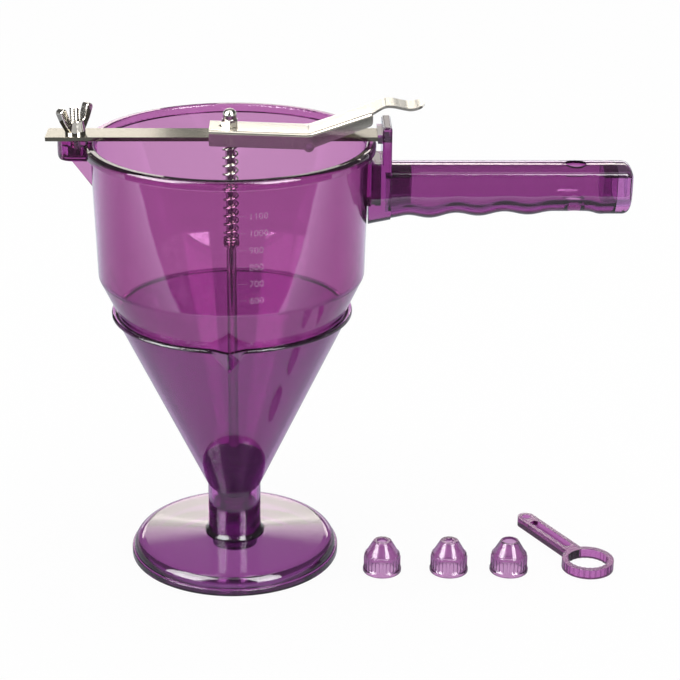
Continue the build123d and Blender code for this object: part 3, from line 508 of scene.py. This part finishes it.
def soften(node, width, body, slot):
    shape = bmesh.new()
    shape.from_mesh(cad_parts[node].data)
    bmesh.ops.remove_doubles(shape, verts=shape.verts, dist=1e-6)
    bmesh.ops.dissolve_limit(shape, angle_limit=FLAT, verts=shape.verts, edges=shape.edges)
    mesh = bpy.data.meshes.new(node + "_softened")
    shape.to_mesh(mesh)
    shape.free()
    mesh.shade_smooth()
    mesh.set_sharp_from_angle(angle=CREASE)
    holder = bpy.data.objects.new(node + "_sharp", mesh)
    bpy.context.scene.collection.objects.link(holder)
    bevel = holder.modifiers.new("edge_round", "BEVEL")
    bevel.limit_method = "ANGLE"
    bevel.angle_limit = CREASE
    bevel.width = width
    bevel.segments = 3
    bevel.use_clamp_overlap = True
    bevel.harden_normals = True
    made = holder.evaluated_get(bpy.context.evaluated_depsgraph_get())
    rounded = bpy.data.meshes.new_from_object(made)
    bpy.data.objects.remove(holder)
    rounded.materials.clear()
    rounded.materials.append(FINISH[node])
    add_piece(node + "_softened", rounded, body, slot, node)


soften("crossbar", STEEL_EDGE, "dispenser", "pressed_steel")
soften("lever", STEEL_EDGE, "lever", "pressed_steel")
soften("nozzle_key", KEY_EDGE, "nozzle_key", "nozzle_purple")


# Stage

FLOOR_HALF = 6.0
FLOOR_DROP = 0.2 * MM
FLOOR_SEEN = 0.93      # share of plain white to the eye
FLOOR_THROUGH = 0.6    # the same through clear walls
TABLE_CENTRE = (0.0, 0.9, 0.0)
TABLE_R = 1.24
TABLE_SOFT = 0.004
TABLE_OUTSIDE = 0.06
TABLE_FADE = 0.12
TABLE_EDGE = 1.9
TABLE_GLOW = 0.2
TABLE_BACK = 1.0
TABLE_BACK_Y = (0.05, 0.45)
FOOT_GLOW = 0.3
FOOT_REACH = (0.35, 0.1)
CARD_Y = -0.765
CARD_END = -0.845
CARD_X = -0.3
CARD_SOFT = 0.01


def eased(tree, source, start, end, low=0.0, high=1.0):
    """A value that goes from low to high as its source goes from start to end."""
    return add_node(tree, "ShaderNodeMapRange", {"Value": source},
                    {"From Min": start, "From Max": end, "To Min": low, "To Max": high}).outputs["Result"]


def is_mirrored(tree, path):
    """1 for light that a surface has mirrored, else 0."""
    return sums(tree, "MINIMUM", path.outputs["Glossy Depth"], 1.0)


def make_floor():
    """A pale floor: white to the eye, with a soft shadow. Mirrors see a round table, lit along its edge and
    at the back, the dark in front of it, and a white card in that dark."""
    mesh = bpy.data.meshes.new("floor")
    corners = [(x * FLOOR_HALF, y * FLOOR_HALF, -FLOOR_DROP) for x, y in ((-1, -1), (1, -1), (1, 1), (-1, 1))]
    mesh.from_pydata(corners, [], [(0, 1, 2, 3)])
    floor = bpy.data.objects.new("floor", mesh)
    bpy.context.scene.collection.objects.link(floor)
    material, tree, output = new_material("white_paper_floor")
    path = add_node(tree, "ShaderNodeLightPath")
    place = add_node(tree, "ShaderNodeTexCoord").outputs["Object"]
    paper = add_node(tree, "ShaderNodeBsdfDiffuse", values={"Color": (0.92, 0.92, 0.92, 1.0)})
    seen = sums(tree, "MULTIPLY", path.outputs["Is Camera Ray"], FLOOR_SEEN)
    share = sums(tree, "MULTIPLY_ADD", path.outputs["Is Transmission Ray"], FLOOR_THROUGH, seen)
    glow = add_node(tree, "ShaderNodeEmission", values={"Strength": 1.0})
    plain = add_node(tree, "ShaderNodeMixShader",
                     {0: share, 1: paper.outputs["BSDF"], 2: glow.outputs["Emission"]})
    reach = add_node(tree, "ShaderNodeVectorMath", {0: place}, {1: TABLE_CENTRE}, operation="DISTANCE")
    inward = sums(tree, "SUBTRACT", TABLE_R, reach.outputs["Value"])
    table = eased(tree, inward, -TABLE_SOFT, TABLE_SOFT, TABLE_OUTSIDE)
    fall = sums(tree, "MULTIPLY", inward, -1 / TABLE_FADE)
    strip = sums(tree, "EXPONENT", sums(tree, "MINIMUM", fall, 0.0))
    across = add_node(tree, "ShaderNodeSeparateXYZ", {"Vector": place})
    back = eased(tree, across.outputs["Y"], *TABLE_BACK_Y, TABLE_GLOW, TABLE_BACK)
    foot = add_node(tree, "ShaderNodeVectorMath", {0: place}, operation="LENGTH")
    close = eased(tree, foot.outputs["Value"], *FOOT_REACH, 0.0, FOOT_GLOW)
    bright = sums(tree, "MULTIPLY_ADD", strip, TABLE_EDGE, sums(tree, "ADD", back, close))
    lit = sums(tree, "MULTIPLY", table, bright)
    near = eased(tree, across.outputs["Y"], CARD_Y + CARD_SOFT, CARD_Y - CARD_SOFT)
    far = eased(tree, across.outputs["Y"], CARD_END - CARD_SOFT, CARD_END + CARD_SOFT)
    right = eased(tree, across.outputs["X"], CARD_X - CARD_SOFT, CARD_X + CARD_SOFT)
    card = sums(tree, "MULTIPLY", sums(tree, "MULTIPLY", near, far), right)
    level = sums(tree, "MAXIMUM", lit, card)
    shine = add_node(tree, "ShaderNodeEmission", {"Strength": level}, {"Color": (0.88, 0.92, 1.0, 1.0)})
    mixed = add_node(tree, "ShaderNodeMixShader",
                     {0: is_mirrored(tree, path), 1: plain.outputs["Shader"], 2: shine.outputs["Emission"]})
    tree.links.new(mixed.outputs["Shader"], output.inputs["Surface"])
    mesh.materials.append(material)


SKY_RISE = (0.03, 0.24)
SKY_LEVEL = (0.9, 0.12)
SKY_HELD_BACK = 0.15   # less light for dull surfaces


def make_world():
    """A plain studio: white to the eye. Mirrors see it white at the horizon and dark overhead."""
    world = bpy.data.worlds.new("studio")
    bpy.context.scene.world = world
    world.use_nodes = True
    tree = world.node_tree
    tree.nodes.clear()
    output = add_node(tree, "ShaderNodeOutputWorld")
    direction = add_node(tree, "ShaderNodeTexCoord").outputs["Generated"]
    height = add_node(tree, "ShaderNodeSeparateXYZ", {"Vector": direction}).outputs["Z"]
    fade = eased(tree, height, *SKY_RISE, *SKY_LEVEL)
    path = add_node(tree, "ShaderNodeLightPath")
    plain = sums(tree, "MULTIPLY_ADD", path.outputs["Is Diffuse Ray"], -SKY_HELD_BACK, 1.0)
    bright = add_node(tree, "ShaderNodeMix", {0: is_mirrored(tree, path), 2: plain, 3: fade})
    glow = add_node(tree, "ShaderNodeBackground", {"Strength": bright.outputs[0]},
                    {"Color": (1.0, 1.0, 1.0, 1.0)})
    tree.links.new(glow.outputs["Background"], output.inputs["Surface"])


def softbox(name, place, aim, width, height, brightness, through=False, spread=False, tint=(1.0, 1.0, 1.0)):
    """A rectangular lamp that faces a point, never seen in the picture itself. Its brightness is what a
    mirror would show, in parts of white. It shows in mirrors, and may show through clear walls or light dull
    surfaces."""
    lamp = bpy.data.lights.new(name, "AREA")
    lamp.shape = "RECTANGLE"
    lamp.size = width
    lamp.size_y = height
    lamp.energy = brightness * math.pi * width * height
    lamp.color = tint
    box = bpy.data.objects.new(name, lamp)
    box.location = place
    box.rotation_euler = (Vector(aim) - Vector(place)).to_track_quat("-Z", "Y").to_euler()
    box.visible_camera = False
    box.visible_transmission = through
    box.visible_diffuse = spread
    bpy.context.scene.collection.objects.link(box)


CAMERA_PLACE = (0.0315, -0.9253, 0.4817)
CAMERA_LENS = 105.8
CAMERA_SHIFT = 0.065
CAMERA_DOWN = 0.377    # radians below level


def make_camera():
    """The photograph's view: a long lens, about a metre off and looking a little down."""
    camera = bpy.data.cameras.new("camera")
    camera.lens = CAMERA_LENS
    camera.shift_x = CAMERA_SHIFT
    camera.dof.use_dof = False
    camera.clip_end = 20.0
    viewer = bpy.data.objects.new("camera", camera)
    viewer.location = CAMERA_PLACE
    viewer.rotation_euler = (math.pi / 2 - CAMERA_DOWN, 0.0, 0.0)
    bpy.context.scene.collection.objects.link(viewer)
    bpy.context.scene.camera = viewer


MIDDLE = (0.03, 0.0, 0.12)
WARM = (1.0, 0.95, 0.88)
BACK_Y = 4.0
BACK_W = 3.4
BACK_LOW = 1.68
BACK_HIGH = 1.94
BACK_END = 2.14
BACK_STEPS = 9
BACK_LIGHT = 5.2
make_floor()
make_world()
softbox("high_back_strip", (0.0, BACK_Y, (BACK_LOW + BACK_HIGH) / 2), MIDDLE, BACK_W, BACK_HIGH - BACK_LOW,
        BACK_LIGHT, tint=WARM)
tall = (BACK_END - BACK_HIGH) / BACK_STEPS
for step in range(BACK_STEPS):
    share = (BACK_STEPS - step) / (BACK_STEPS + 1)
    rise = BACK_HIGH + (step + 0.5) * tall
    softbox("back_fade", (0.0, BACK_Y, rise), (0.0, 0.0, rise), BACK_W, tall, BACK_LIGHT * share, tint=WARM)
softbox("low_back_strip", (0.0, BACK_Y, 0.62), MIDDLE, BACK_W, 0.6, 2.0)
softbox("left_softbox", (-1.0, -0.76, 0.75), MIDDLE, 0.85, 0.8, 4.0, through=True)
softbox("right_softbox", (0.78, -1.0, 0.75), MIDDLE, 0.6, 0.8, 4.0, through=True)
softbox("left_rim_light", (-0.658, -0.35, 0.75), MIDDLE, 0.72, 0.9, 11.0)
softbox("right_rim_light", (0.499, -0.554, 0.75), MIDDLE, 0.47, 0.9, 11.0)
softbox("top_softbox", (0.0, -0.1, 1.5), MIDDLE, 1.2, 1.2, 1.2, spread=True)
softbox("bar_card", (-0.66, BACK_Y, 1.36), MIDDLE, 0.7, 0.26, 2.5, tint=WARM)
softbox("arm_card", (-0.6, BACK_Y, 1.14), MIDDLE, 0.7, 0.22, 0.35, tint=WARM)
softbox("lever_card", (0.22, BACK_Y, 1.32), MIDDLE, 0.78, 0.26, 1.6, tint=WARM)
make_camera()

BOUNCES = 24
scene = bpy.context.scene
scene.view_settings.view_transform = "Standard"
scene.cycles.max_bounces = BOUNCES
scene.cycles.transmission_bounces = BOUNCES
scene.cycles.transparent_max_bounces = BOUNCES
